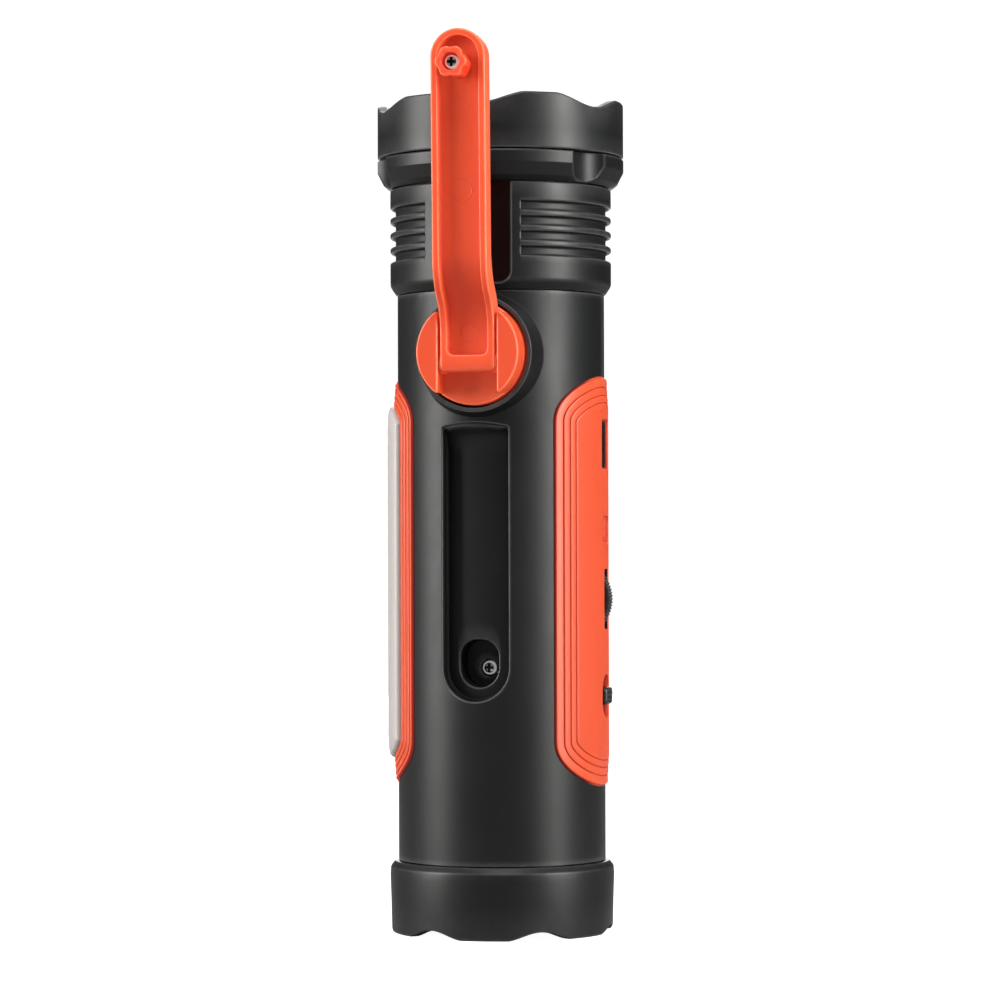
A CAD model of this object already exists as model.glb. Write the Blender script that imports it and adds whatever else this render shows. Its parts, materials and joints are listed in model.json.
import json
import logging
import math
from collections.abc import Callable, Sequence
from dataclasses import dataclass, field, replace
from enum import Enum

import bmesh
import bpy
import numpy as np
from mathutils import Matrix, Vector


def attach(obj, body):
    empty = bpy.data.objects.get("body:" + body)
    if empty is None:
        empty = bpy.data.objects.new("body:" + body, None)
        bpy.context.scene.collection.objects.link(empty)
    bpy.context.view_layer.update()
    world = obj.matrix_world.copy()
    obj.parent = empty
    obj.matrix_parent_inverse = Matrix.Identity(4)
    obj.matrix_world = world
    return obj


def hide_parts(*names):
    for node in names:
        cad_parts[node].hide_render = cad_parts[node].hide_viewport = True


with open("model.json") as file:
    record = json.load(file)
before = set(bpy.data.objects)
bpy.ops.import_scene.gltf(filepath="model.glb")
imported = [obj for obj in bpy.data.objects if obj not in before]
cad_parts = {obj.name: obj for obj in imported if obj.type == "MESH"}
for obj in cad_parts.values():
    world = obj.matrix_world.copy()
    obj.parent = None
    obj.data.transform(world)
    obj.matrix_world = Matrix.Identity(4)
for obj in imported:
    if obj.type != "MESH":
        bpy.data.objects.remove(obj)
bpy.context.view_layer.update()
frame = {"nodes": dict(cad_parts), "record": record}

LOG = logging.getLogger("flashlight")

# One millimetre in metres, and in millimetres: the reach within which points are joined, the length that a
# radian of turn counts for when points are spread along an outline, and the height of the tuning wheel.
MM = 0.001
WELD = 0.004
TURN_WEIGHT = 5.0
WHEEL_HEIGHT = 86.3

Array = np.ndarray
Flats = list[tuple[Array, Array | float]]


# Points, profiles and loops, all in millimetres


def front(x: Array | float, depth: Array | float, z: Array | float) -> Array:
    """Points from a place across, a depth towards the crank side and a height.

    Args:
        x: place across the body, towards the control panel.
        depth: distance from the axis towards the crank.
        z: height above the rest plane.

    Returns:
        The points, with x, -depth and z in the last axis.
    """
    x, depth, z = np.broadcast_arrays(x, depth, z)
    return np.stack([x, -depth, z], axis=-1).astype(float)


def raised(flats: Flats) -> list[Array]:
    """Rings of points from flat outlines, each of places across and heights with its depth."""
    return [front(flat[:, 0], depth, flat[:, 1]) for flat, depth in flats]


def around(radius: Array | float, angle: Array | float, z: Array | float) -> Array:
    """Points at a radius and an angle, in radians from the crank side towards the panel.

    Args:
        radius: distance from the axis.
        angle: turn from the crank side.
        z: height.

    Returns:
        The points (radius sin angle, -radius cos angle, z).
    """
    return front(radius * np.sin(angle), radius * np.cos(angle), z)


def rounded(corners: Sequence[Sequence[float]], steps: int = 4, closed: bool = False) -> Array:
    """A path with an arc at each corner that has a radius.

    The arc touches both sides at radius / tan(half the corner's angle) from the corner, and its points turn
    evenly about a centre on the corner's bisector.

    Args:
        corners: rows of u, v and, where the corner is rounded, its radius.
        steps: pieces in each arc.
        closed: whether the last corner joins the first.

    Returns:
        The points of the path, as rows of u and v.
    """
    places = np.array([corner[:2] for corner in corners], float)
    radii = [corner[2] if len(corner) > 2 else 0.0 for corner in corners]
    path = []
    for i, (place, radius) in enumerate(zip(places, radii)):
        end = i in (0, len(places) - 1) and not closed
        if radius == 0 or end:
            path.append(place[None])
            continue
        before, after = places[i - 1] - place, places[(i + 1) % len(places)] - place
        reach = min(np.linalg.norm(before), np.linalg.norm(after))
        a, b = before / np.linalg.norm(before), after / np.linalg.norm(after)
        half = math.acos(float(np.clip(a @ b, -1, 1))) / 2
        if half > 1.55:
            path.append(place[None])
            continue
        radius = min(radius, 0.49 * reach * math.tan(half))
        centre = place + (a + b) / np.linalg.norm(a + b) * radius / math.sin(half)
        start = place + a * radius / math.tan(half) - centre
        stop = place + b * radius / math.tan(half) - centre
        turn = math.pi - 2 * half
        t = np.linspace(0, 1, steps + 1)[:, None]
        path.append(centre + (np.sin((1 - t) * turn) * start + np.sin(t * turn) * stop) / math.sin(turn))
    return np.concatenate(path)


def quarter(steps: int) -> list[float]:
    """Angles of a quarter turn in even steps."""
    return list(np.linspace(0, math.pi / 2, steps + 1))


def mixed(a: Array, b: Array, share: Array | float) -> Array:
    """The points that lie a share of the way from a to b."""
    return a + (b - a) * share


def blends(a: Array, b: Array, shares: Sequence[float]) -> list[Array]:
    """The points at each of several shares of the way from a to b."""
    return [mixed(a, b, share) for share in shares]


@dataclass(frozen=True)
class Loop:
    """A closed outline with its outward directions, in a flat plane."""

    points: Array
    outward: Array

    def grown(self, by: float) -> Array:
        """The outline moved outwards along its own directions."""
        return self.points + self.outward * by

    def moved(self, across: float) -> "Loop":
        """The same outline, moved across."""
        return Loop(self.points + np.array([across, 0.0]), self.outward)

    def lip(self, size: float, steps: int = 4) -> Flats:
        """A quarter round that comes in from outside this outline and ends on it, bent down.

        Args:
            size: its radius; a negative one comes out from inside and bends the other way.
            steps: pieces in it.

        Returns:
            Its outlines from the start on, each with its distance from the level of the start.
        """
        return [(self.grown(size * (1 - math.sin(t))), size * (1 - math.cos(t))) for t in quarter(steps)]

    def sole(self, size: float, inset: float = 0.0, steps: int = 4) -> Flats:
        """A quarter round that starts upright inside this outline and ends flat.

        Args:
            size: its radius.
            inset: how far inside the outline it starts.
            steps: pieces in it.

        Returns:
            Its outlines from the start on, each with its distance from the level of the end.
        """
        return [(self.grown(-inset - size * (1 - math.cos(t))), size * (1 - math.sin(t)))
                for t in quarter(steps)]


@dataclass(frozen=True)
class Patch:
    """A rectangle of a surface that a feature can be let into, with the points that its neighbours share."""

    across: Array
    up: Array

    @property
    def counts(self) -> tuple[int, int]:
        """Steps along the top and along a side."""
        return len(self.across) - 1, len(self.up) - 1

    def edge(self) -> Array:
        """The rectangle's own points, from its lower right corner round to the left."""
        a, u = self.across, self.up
        right = np.stack([np.full(len(u), a[-1]), u], -1)[:-1]
        top = np.stack([a[::-1], np.full(len(a), u[-1])], -1)[:-1]
        left = np.stack([np.full(len(u), a[0]), u[::-1]], -1)[:-1]
        low = np.stack([a, np.full(len(a), u[0])], -1)[:-1]
        return np.concatenate([right, top, left, low])

    def loop(self, half: float, low: float, high: float, low_radius: float, high_radius: float) -> Loop:
        """An outline of straight sides and round corners, with one point for each point of the rectangle.

        The points are even in length plus a weight for each radian of turn, from one corner's middle to the
        next.

        Args:
            half: half its width.
            low: its lower end.
            high: its upper end.
            low_radius: radius of its lower corners.
            high_radius: radius of its upper corners.

        Returns:
            The outline.
        """
        nh, ns = self.counts
        corners = [
            (half - low_radius, low + low_radius, low_radius, -90.0),
            (half - high_radius, high - high_radius, high_radius, 0.0),
            (high_radius - half, high - high_radius, high_radius, 90.0),
            (low_radius - half, low + low_radius, low_radius, 180.0),
        ]
        points, normals, fine = [], [], 60
        for i, count in enumerate([ns, nh, ns, nh]):
            first, second = corners[i], corners[(i + 1) % 4]
            angles = np.radians(np.concatenate([
                np.linspace(first[3] + 45, first[3] + 90, fine),
                np.linspace(first[3] + 90, first[3] + 135, fine),
            ]))
            centres = np.repeat([first[:2], second[:2]], fine, axis=0)
            radii = np.repeat([first[2], second[2]], fine)[:, None]
            way = np.stack([np.cos(angles), np.sin(angles)], -1)
            path = centres + radii * way
            step = np.linalg.norm(np.diff(path, axis=0), axis=1) + TURN_WEIGHT * np.abs(np.diff(angles))
            u = np.concatenate([[0], np.cumsum(step)])
            at = np.linspace(0, u[-1], count + 1)[:-1]
            points.append(np.stack([np.interp(at, u, path[:, k]) for k in (0, 1)], -1))
            normals.append(np.stack([np.interp(at, u, way[:, k]) for k in (0, 1)], -1))
        normal = np.concatenate(normals)
        return Loop(np.concatenate(points), normal / np.linalg.norm(normal, axis=1, keepdims=True))

    def follow(self, outline: Array) -> Loop:
        """Spreads this rectangle's points along any closed outline, from its 45 degree place to the next.

        Args:
            outline: the outline's points, anticlockwise from its right hand side.

        Returns:
            The outline with a point for each point of the rectangle.
        """
        step = np.roll(outline, -1, axis=0) - np.roll(outline, 1, axis=0)
        way = np.stack([step[:, 1], -step[:, 0]], -1)
        way /= np.linalg.norm(way, axis=1, keepdims=True)
        turn = np.unwrap(np.arctan2(way[:, 1], way[:, 0]))
        start = int(np.argmin(np.abs(turn - turn[0] - (math.radians(-45) - turn[0]) % (2 * math.pi))))
        outline, way = np.roll(outline, -start, axis=0), np.roll(way, -start, axis=0)
        turn = np.unwrap(np.arctan2(way[:, 1], way[:, 0]))
        outline, way = np.vstack([outline, outline[:1]]), np.vstack([way, way[:1]])
        turn = np.append(turn, turn[0] + 2 * math.pi) - turn[0]
        length = np.concatenate([[0], np.cumsum(np.linalg.norm(np.diff(outline, axis=0), axis=1))])
        u = length + TURN_WEIGHT * turn
        nh, ns = self.counts
        marks = [float(np.interp(math.radians(90 * k), turn, u)) for k in range(5)]
        at = np.concatenate([
            np.linspace(marks[i], marks[i + 1], count + 1)[:-1] for i, count in enumerate([ns, nh, ns, nh])
        ])
        points = np.stack([np.interp(at, u, outline[:, k]) for k in (0, 1)], -1)
        normal = np.stack([np.interp(at, u, way[:, k]) for k in (0, 1)], -1)
        return Loop(points, normal / np.linalg.norm(normal, axis=1, keepdims=True))


# Meshes


def mark_edges(mesh: bpy.types.Mesh) -> None:
    """Writes how sharply the surface bends outwards (edge) and inwards (hollow) at each point, from 0 to 1.

    The bend is the mean, over a point's edges, of the change of normal along the edge divided by its length.

    Args:
        mesh: the mesh, which gets the two attributes.
    """
    count = len(mesh.vertices)
    place = np.empty(count * 3, np.float32)
    mesh.vertices.foreach_get("co", place)
    normal = np.empty(count * 3, np.float32)
    mesh.vertex_normals.foreach_get("vector", normal)
    ends = np.empty(len(mesh.edges) * 2, np.int32)
    mesh.edges.foreach_get("vertices", ends)
    a, b = ends.reshape(-1, 2).T
    place, normal = place.reshape(-1, 3) / MM, normal.reshape(-1, 3)
    step = place[b] - place[a]
    bend = ((normal[b] - normal[a]) * step).sum(1) / np.maximum((step * step).sum(1), 0.01)
    total = np.bincount(a, bend, count) + np.bincount(b, bend, count)
    mean = total / np.maximum(np.bincount(a, minlength=count) + np.bincount(b, minlength=count), 1)
    least, span = 0.12, 0.9
    for name, value in (("edge", mean), ("hollow", -mean)):
        layer = mesh.attributes.new(name, "FLOAT", "POINT")
        layer.data.foreach_set("value", np.clip((value - least) / span, 0, 1).astype(np.float32))


def places_of(thing: bpy.types.Object) -> Array:
    """The mesh's points, in millimetres, as columns of x, y and z."""
    place = np.empty(len(thing.data.vertices) * 3, np.float32)
    thing.data.vertices.foreach_get("co", place)
    return place.reshape(-1, 3).T / MM


def write_share(thing: bpy.types.Object, name: str, share: Array) -> None:
    """Writes a share from 0 to 1 on each of the mesh's points, for its finish to read."""
    thing.data.attributes.new(name, "FLOAT", "POINT").data.foreach_set("value", share.astype(np.float32))


@dataclass
class Skin:
    """A surface gathered from grids of points, which share the points where they meet."""

    points: list[Array] = field(default_factory=list)
    faces: list[Array] = field(default_factory=list)
    count: int = 0

    def grid(self, rows: Array, wrap_rows: bool = False, wrap_columns: bool = False) -> "Skin":
        """Adds a grid of points with a quad between each four.

        Args:
            rows: the points, by row and column.
            wrap_rows: whether the last row joins the first.
            wrap_columns: whether the last column joins the first.

        Returns:
            This skin.
        """
        index = self.count + np.arange(rows.shape[0] * rows.shape[1]).reshape(rows.shape[:2])
        if wrap_rows:
            index = np.vstack([index, index[:1]])
        if wrap_columns:
            index = np.hstack([index, index[:, :1]])
        quads = np.stack([index[:-1, :-1], index[:-1, 1:], index[1:, 1:], index[1:, :-1]], axis=-1)
        self.points.append(rows.reshape(-1, 3))
        self.faces.append(quads.reshape(-1, 4))
        self.count += rows.shape[0] * rows.shape[1]
        return self

    def rings(self, rings: Sequence[Array], closed: bool = False) -> "Skin":
        """Adds rings of points as a tube, whose last ring joins the first where it is closed."""
        return self.grid(np.stack(rings), wrap_rows=closed, wrap_columns=True)

    def mesh(self, name: str, sharp: float = 34.0, centre: Vector | None = None) -> bpy.types.Mesh:
        """Makes the mesh: welds shared points, turns faces outwards and shades curves smooth.

        Args:
            name: the mesh's name.
            sharp: edges that bend more than this many degrees stay crisp.
            centre: for an open skin, a place that its faces must look away from, in millimetres.

        Returns:
            The mesh, in metres.
        """
        mesh = bpy.data.meshes.new(name)
        places = np.concatenate(self.points) * MM
        mesh.from_pydata(places.tolist(), [], np.concatenate(self.faces).tolist())
        work = bmesh.new()
        work.from_mesh(mesh)
        bmesh.ops.remove_doubles(work, verts=work.verts, dist=WELD * MM)
        bmesh.ops.recalc_face_normals(work, faces=work.faces)
        if centre is not None:
            middle = centre * MM
            looks = sum(face.normal.dot(face.calc_center_median() - middle) * face.calc_area()
                        for face in work.faces)
            if looks < 0:
                bmesh.ops.reverse_faces(work, faces=work.faces)
        work.to_mesh(mesh)
        work.free()
        mesh.shade_smooth()
        mesh.set_sharp_from_angle(angle=math.radians(sharp))
        mark_edges(mesh)
        return mesh

    def piece(
        self,
        node: str,
        body: str,
        slot: "Slot",
        finish: "Finish | None" = None,
        wall: float = 0.0,
        sharp: float = 34.0,
        centre: Vector | None = None,
    ) -> bpy.types.Object:
        """Makes the finished piece that stands for a plain node and puts it on its body.

        Args:
            node: the plain node, whose name the piece bears after "dressed".
            body: the body that it rides on.
            slot: the record's material slot.
            finish: what it is finished in, where that isn't the slot's own finish.
            wall: thickness that an open skin gets, inwards.
            sharp: bend in degrees past which an edge stays crisp.
            centre: a place that an open skin looks away from.

        Returns:
            The piece's object.
        """
        name = f"dressed_{node}"
        mesh = self.mesh(name, sharp, centre)
        mesh.materials.append((finish or FINISHES[slot]).material())
        thing = bpy.data.objects.new(name, mesh)
        bpy.context.scene.collection.objects.link(thing)
        if wall:
            solid = thing.modifiers.new("wall", "SOLIDIFY")
            solid.thickness = wall * MM
            solid.offset = -1
            solid.use_even_offset = False
        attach(thing, body)
        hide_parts(node)
        LOG.info("%s: %d points, rides on %s", name, len(mesh.vertices), body)
        return thing


def lathe(profile: Array, angles: Array) -> Array:
    """A profile of radius and height turned about the axis, as a ring for each of its points."""
    return around(profile[:, :1], angles[None], profile[:, 1:])


def lathe_outward(profile: Array, height: float, count: int = 96) -> Array:
    """A profile of radius and depth turned about the line towards the crank at a height.

    Args:
        profile: rows of radius and depth.
        height: the line's height.
        count: points in each ring.

    Returns:
        The rings (radius cos angle, depth, height + radius sin angle).
    """
    angle = turns(count)
    radius, depth = profile[:, :1], profile[:, 1:]
    return front(radius * np.cos(angle), depth + 0 * angle, height + radius * np.sin(angle))


def turns(count: int) -> Array:
    """Evenly spaced angles of a whole turn."""
    return np.linspace(0, 2 * math.pi, count, endpoint=False)


def from_centre(angle: Array, pitch: float, first: float) -> Array:
    """Degrees from each angle to the nearest of the marks that lie a pitch apart, from a first one."""
    return np.abs((np.degrees(angle) - first + pitch / 2) % pitch - pitch / 2)


def scallop(angle: Array, pitch: float, first: float, flat: float) -> Array:
    """The share, 0 to 1, that an edge is hollowed at each angle.

    It is 0 within the flat about each mark and rises to 1 half way to the next one, as the mean of a sine,
    which leaves the flat at a corner, and a cosine, which leaves it smoothly.

    Args:
        angle: the angles, in radians.
        pitch: degrees between marks.
        first: degrees at which the first mark is.
        flat: half the width of the flat, in degrees.

    Returns:
        The share at each angle.
    """
    t = np.clip((from_centre(angle, pitch, first) - flat) / (pitch / 2 - flat), 0, 1)
    return 0.5 * np.sin(t * math.pi / 2) + 0.25 * (1 - np.cos(t * math.pi))


# Finishes


def linear(colour: Sequence[float]) -> tuple[float, float, float, float]:
    """A colour of 0 to 255 as the eye sees it, in the linear light that shaders use."""
    shares = [value / 255 for value in colour]
    light = [s / 12.92 if s <= 0.04045 else ((s + 0.055) / 1.055) ** 2.4 for s in shares]
    return (light[0], light[1], light[2], 1.0)


EMBER = (1.0, 0.06, 0.02, 1.0)
BLACK = (0.0, 0.0, 0.0, 1.0)
POLISHED = linear((5, 4, 4))
SOOT = linear((8, 3, 3))


class Wire:
    """A number that leaves a node, on which sums can be written."""

    def __init__(self, recipe: "Recipe", socket: bpy.types.NodeSocket) -> None:
        """Keeps the recipe and the socket."""
        self.recipe, self.socket = recipe, socket

    def sum(self, operation: str, first: "Wire | float", second: "Wire | float" = 0.0) -> "Wire":
        """Adds the Math node of an operation on two values."""
        return self.recipe.wire("ShaderNodeMath", {"operation": operation}, {0: first, 1: second})

    def __add__(self, other: "Wire | float") -> "Wire":
        """This plus the other."""
        return self.sum("ADD", self, other)

    __radd__ = __add__

    def __sub__(self, other: "Wire | float") -> "Wire":
        """This less the other."""
        return self.sum("SUBTRACT", self, other)

    def __rsub__(self, other: float) -> "Wire":
        """The other less this."""
        return self.sum("SUBTRACT", other, self)

    def __mul__(self, other: "Wire | float") -> "Wire":
        """This times the other."""
        return self.sum("MULTIPLY", self, other)

    __rmul__ = __mul__

    def __truediv__(self, other: "Wire | float") -> "Wire":
        """This divided by the other."""
        return self.sum("DIVIDE", self, other)

    def __rtruediv__(self, other: float) -> "Wire":
        """The other divided by this."""
        return self.sum("DIVIDE", other, self)

    def __pow__(self, power: float) -> "Wire":
        """This to a power."""
        return self.sum("POWER", self, power)

    def clamped(self) -> "Wire":
        """This, kept between 0 and 1."""
        return self.recipe.wire("ShaderNodeClamp", {}, {0: self})


class Recipe:
    """The nodes of one material."""

    def __init__(self, name: str) -> None:
        """Starts an empty material with an output."""
        self.material = bpy.data.materials.new(name)
        self.material.use_nodes = True
        self.tree = self.material.node_tree
        self.tree.nodes.clear()
        self.place = self.node("ShaderNodeTexCoord").outputs["Object"]

    def node(self, kind: str, settings: dict | None = None, sockets: dict | None = None) -> bpy.types.Node:
        """Adds a node.

        Args:
            kind: the node's type.
            settings: its properties.
            sockets: values or links of its inputs, by name or number.

        Returns:
            The node.
        """
        node = self.tree.nodes.new(kind)
        for key, value in (settings or {}).items():
            setattr(node, key, value)
        for key, value in (sockets or {}).items():
            if isinstance(value, Wire):
                value = value.socket
            if isinstance(value, bpy.types.NodeSocket):
                self.tree.links.new(value, node.inputs[key])
            else:
                node.inputs[key].default_value = value
        return node

    def wire(self, kind: str, settings: dict | None = None, sockets: dict | None = None,
             out: int | str = 0) -> Wire:
        """Adds a node and gives one of its outputs as a number to count with."""
        return Wire(self, self.node(kind, settings, sockets).outputs[out])

    def stretched(self, scale: tuple[float, float, float]) -> bpy.types.NodeSocket:
        """The object's own coordinates, stretched along its axes."""
        return self.node("ShaderNodeMapping", {}, {"Vector": self.place, "Scale": scale}).outputs[0]

    def noise(self, size: float, detail: float = 2.0, place: bpy.types.NodeSocket | None = None) -> Wire:
        """Soft random patches of a size in millimetres, from 0 to 1."""
        return self.wire("ShaderNodeTexNoise", {}, {
            "Vector": place or self.place, "Scale": 1 / (size * MM), "Detail": detail, "Roughness": 0.55})

    def spots(self, size: float) -> Wire:
        """Distance to the nearest of random cell centres of a size in millimetres."""
        sockets = {"Vector": self.place, "Scale": 1 / (size * MM)}
        return self.wire("ShaderNodeTexVoronoi", {}, sockets, "Distance")

    def attribute(self, name: str) -> Wire:
        """A number kept on the mesh."""
        return self.wire("ShaderNodeAttribute", {"attribute_name": name}, {}, "Fac")

    def ramp(self, value: Wire, low: float, high: float) -> Wire:
        """The value spread so that low gives 0 and high gives 1."""
        return self.wire("ShaderNodeMapRange", {}, {0: value, 1: low, 2: high})

    def band(self, value: Wire, start: float, end: float) -> Wire:
        """How far a length lies from a start to an end in millimetres, from 0 to 1."""
        return self.ramp(value, start * MM, end * MM)

    def band_square(self, value: Wire, start: float, end: float) -> Wire:
        """How far the square of a length lies between the squares of a start and an end in millimetres."""
        return self.ramp(value, (start * MM) ** 2, (end * MM) ** 2)

    def blend(self, share: Wire | float, a: Sequence[float] | Wire, b: Sequence[float] | Wire) -> Wire:
        """A colour between two."""
        return self.wire("ShaderNodeMix", {"data_type": "RGBA"}, {0: share, 6: a, 7: b}, 2)

    def bump(self, height: Wire, depth: float, under: Wire | None = None) -> Wire:
        """A normal that leans as a height of 0 to 1 over a depth in millimetres would make it."""
        sockets = {"Height": height, "Distance": depth * MM, "Strength": 1.0}
        if under is not None:
            sockets["Normal"] = under
        return self.wire("ShaderNodeBump", {}, sockets)

    def finish(self, sockets: dict) -> bpy.types.Material:
        """Sets the surface shader's sockets, joins it to the output and gives the material."""
        shader = self.node("ShaderNodeBsdfPrincipled", {}, sockets)
        self.node("ShaderNodeOutputMaterial", {}, {"Surface": shader.outputs[0]})
        return self.material


@dataclass(frozen=True)
class Finish:
    """What a surface is finished in; its material is made once."""

    name: str
    colour: tuple[int, int, int]
    roughness: float

    def material(self) -> bpy.types.Material:
        """The finish's material, made the first time that it is asked for."""
        name = f"{self.name}_finish"
        return bpy.data.materials.get(name) or self.made(Recipe(name))

    def made(self, r: Recipe) -> bpy.types.Material:
        """Builds the material."""
        raise NotImplementedError


@dataclass(frozen=True)
class Moulded(Finish):
    """Moulded plastic: eroded grain from the tool, soft clouding, dusty hollows and polished edges."""

    grain: float = 0.3
    grain_depth: float = 0.012
    clouding: float = 0.06
    worn: float = 0.5
    worn_colour: tuple[int, int, int] = (120, 120, 120)
    hollow_colour: tuple[int, int, int] = (30, 30, 30)
    gloss: float = 0.5
    coat: float = 0.0
    glow: float = 0.0
    marks: tuple[tuple[float, float], ...] = ()
    ember: float = 0.0
    deep_below: float = 0.0
    deep_colour: tuple[int, int, int] = (96, 3, 1)

    def shaded(self, r: Recipe, x: Wire, y: Wire, z: Wire) -> tuple[Wire, Wire]:
        """Where a side panel is red and where it is black: at its foot, in its seam and in the wheel's well.

        Args:
            r: the recipe.
            x: place across the body.
            y: place along the line away from the crank.
            z: height.

        Returns:
            The share of the deep colour and the share of black.
        """
        foot, seam, gap, well_depth = (27.05, 26.85), (27.2, 26.98), (26.6, 26.3), (27.85, 27.7)
        well_across, well_along, sides = (2.5, 2.3), (9.4, 9.2), (8, 12)
        reach, off = (x * x + y * y) ** 0.5, z - WHEEL_HEIGHT * MM
        far = r.band_square(y * y, *sides)
        deep = r.band(reach, self.deep_below + 0.1, self.deep_below - 0.2) * far + r.band(reach, *foot)
        well = r.band_square(y * y, *well_across) * r.band_square(off * off, *well_along)
        black = r.band(reach, *seam) * far + r.band(reach, *gap) + well * r.band(reach, *well_depth)
        return deep.clamped(), black.clamped()

    def made(self, r: Recipe) -> bpy.types.Material:
        """Builds the material."""
        cloud = r.noise(14, 3)
        patch = r.noise(2.2, 4)
        grain = r.noise(self.grain, 2) * 0.65 + r.spots(self.grain * 1.6) * 0.35
        scuff = r.ramp(r.noise(0.5, 4, r.stretched((1.0, 1.0, 0.06))), 0.62, 0.78)
        edge, hollow, polish = r.attribute("edge"), r.attribute("hollow"), r.attribute("polish")
        base = linear(self.colour)
        light = tuple(min(1.0, c * (1 + self.clouding)) for c in base[:3]) + (1.0,)
        dark = tuple(c * (1 - self.clouding) for c in base[:3]) + (1.0,)
        colour = r.blend(cloud * 0.6 + patch * 0.4, dark, light)
        worn = (edge * (patch * 0.9 + 0.35) * self.worn).clamped()
        colour = r.blend(worn, colour, linear(self.worn_colour))
        colour = r.blend((hollow * 0.85 * (cloud + 0.4)).clamped(), colour, linear(self.hollow_colour))
        colour = r.blend(polish * 0.85, colour, POLISHED)
        rough = (cloud - 0.5) * 0.12 + (patch - 0.5) * 0.08 + self.roughness
        rough = rough - scuff * 0.05 - edge * 0.1 - polish * 0.2 + hollow * 0.4
        normal = r.bump(grain, self.grain_depth)
        at = r.node("ShaderNodeSeparateXYZ", {}, {0: r.place})
        x, y, z = (Wire(r, at.outputs[i]) for i in range(3))
        ember: Sequence[float] | Wire = EMBER
        if self.deep_below:
            deep, black = self.shaded(r, x, y, z)
            colour = r.blend(deep, colour, linear(self.deep_colour))
            colour = r.blend(black, colour, SOOT)
            rough = rough + deep * 0.45
            ember = r.blend(black, EMBER, BLACK)
        half_line, line_depth = 0.16, 0.05
        for height, radius in self.marks:
            off = z - height * MM
            reach = (x * x + off * off) ** 0.5
            line = (1 - ((reach - radius * MM) ** 2.0) / (half_line * MM) ** 2).clamped()
            normal = r.bump(line, line_depth, normal)
            colour = r.blend(line * 0.24, colour, linear(self.hollow_colour))
        return r.finish({
            "Base Color": colour, "Roughness": rough.clamped(), "Normal": normal,
            "Specular IOR Level": self.gloss, "Coat Weight": self.coat, "Coat Roughness": 0.25,
            "Subsurface Weight": self.glow, "Subsurface Scale": 0.004, "Subsurface Radius": (1.0, 0.25, 0.12),
            "Emission Color": ember, "Emission Strength": self.ember,
        })


@dataclass(frozen=True)
class Metal(Finish):
    """Worked metal: fine lines along one axis, cloudy tarnish and bright edges."""

    lines: tuple[float, float, float] = (1.0, 1.0, 0.05)
    tarnish: tuple[int, int, int] = (90, 85, 80)
    tarnished: float = 0.35
    depth: float = 0.006
    spark: float = 0.0

    def made(self, r: Recipe) -> bpy.types.Material:
        """Builds the material."""
        lines = r.noise(0.25, 3, r.stretched(self.lines))
        cloud = r.noise(3.5, 4)
        pits = r.ramp(r.noise(0.6, 2), 0.66, 0.8)
        edge, hollow = r.attribute("edge"), r.attribute("hollow")
        drive, ring = r.attribute("drive"), r.attribute("ring")
        share = (r.ramp(cloud, 0.45, 0.8) * self.tarnished + pits * 0.2 + hollow * 0.5).clamped()
        colour = r.blend(share, linear(self.colour), linear(self.tarnish))
        colour = r.blend((edge * 0.4).clamped(), colour, (0.9, 0.9, 0.9, 1.0))
        colour = r.blend(drive * 0.96, colour, (0.003, 0.003, 0.003, 1.0))
        rough = self.roughness + (lines - 0.5) * 0.25 + share * 0.2
        return r.finish({
            "Base Color": colour, "Metallic": 1.0, "Roughness": rough.clamped(),
            "Normal": r.bump(lines + pits, self.depth),
            "Emission Color": r.blend(ring, BLACK, (0.9, 0.87, 0.85, 1)), "Emission Strength": self.spark,
        })


@dataclass(frozen=True)
class Rubber(Finish):
    """Soft rubber: close pores and a pale bloom."""

    def made(self, r: Recipe) -> bpy.types.Material:
        """Builds the material."""
        bloom = r.ramp(r.noise(6, 4), 0.45, 0.75)
        pores = r.spots(0.35)
        colour = r.blend(bloom * 0.35, linear(self.colour), linear((70, 70, 72)))
        rough = self.roughness + (bloom - 0.5) * 0.12
        return r.finish({"Base Color": colour, "Roughness": rough.clamped(), "Normal": r.bump(pores, 0.02)})


@dataclass(frozen=True)
class Clear(Finish):
    """Clear window plastic: faint ripples, dust and fine wipe marks."""

    clarity: float = 1.0

    def made(self, r: Recipe) -> bpy.types.Material:
        """Builds the material."""
        dust = r.ramp(r.noise(0.5, 3), 0.6, 0.8)
        wipe = r.ramp(r.noise(0.8, 3, r.stretched((0.08, 1.0, 1.0))), 0.55, 0.8)
        ripple = r.noise(18, 1)
        rough = self.roughness + dust * 0.1 + wipe * 0.06
        colour = r.blend(dust * 0.12, linear(self.colour), (0.75, 0.75, 0.75, 1.0))
        return r.finish({
            "Base Color": colour, "Roughness": rough, "Transmission Weight": self.clarity, "IOR": 1.49,
            "Normal": r.bump(ripple + wipe * 0.1, 0.01),
        })


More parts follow.
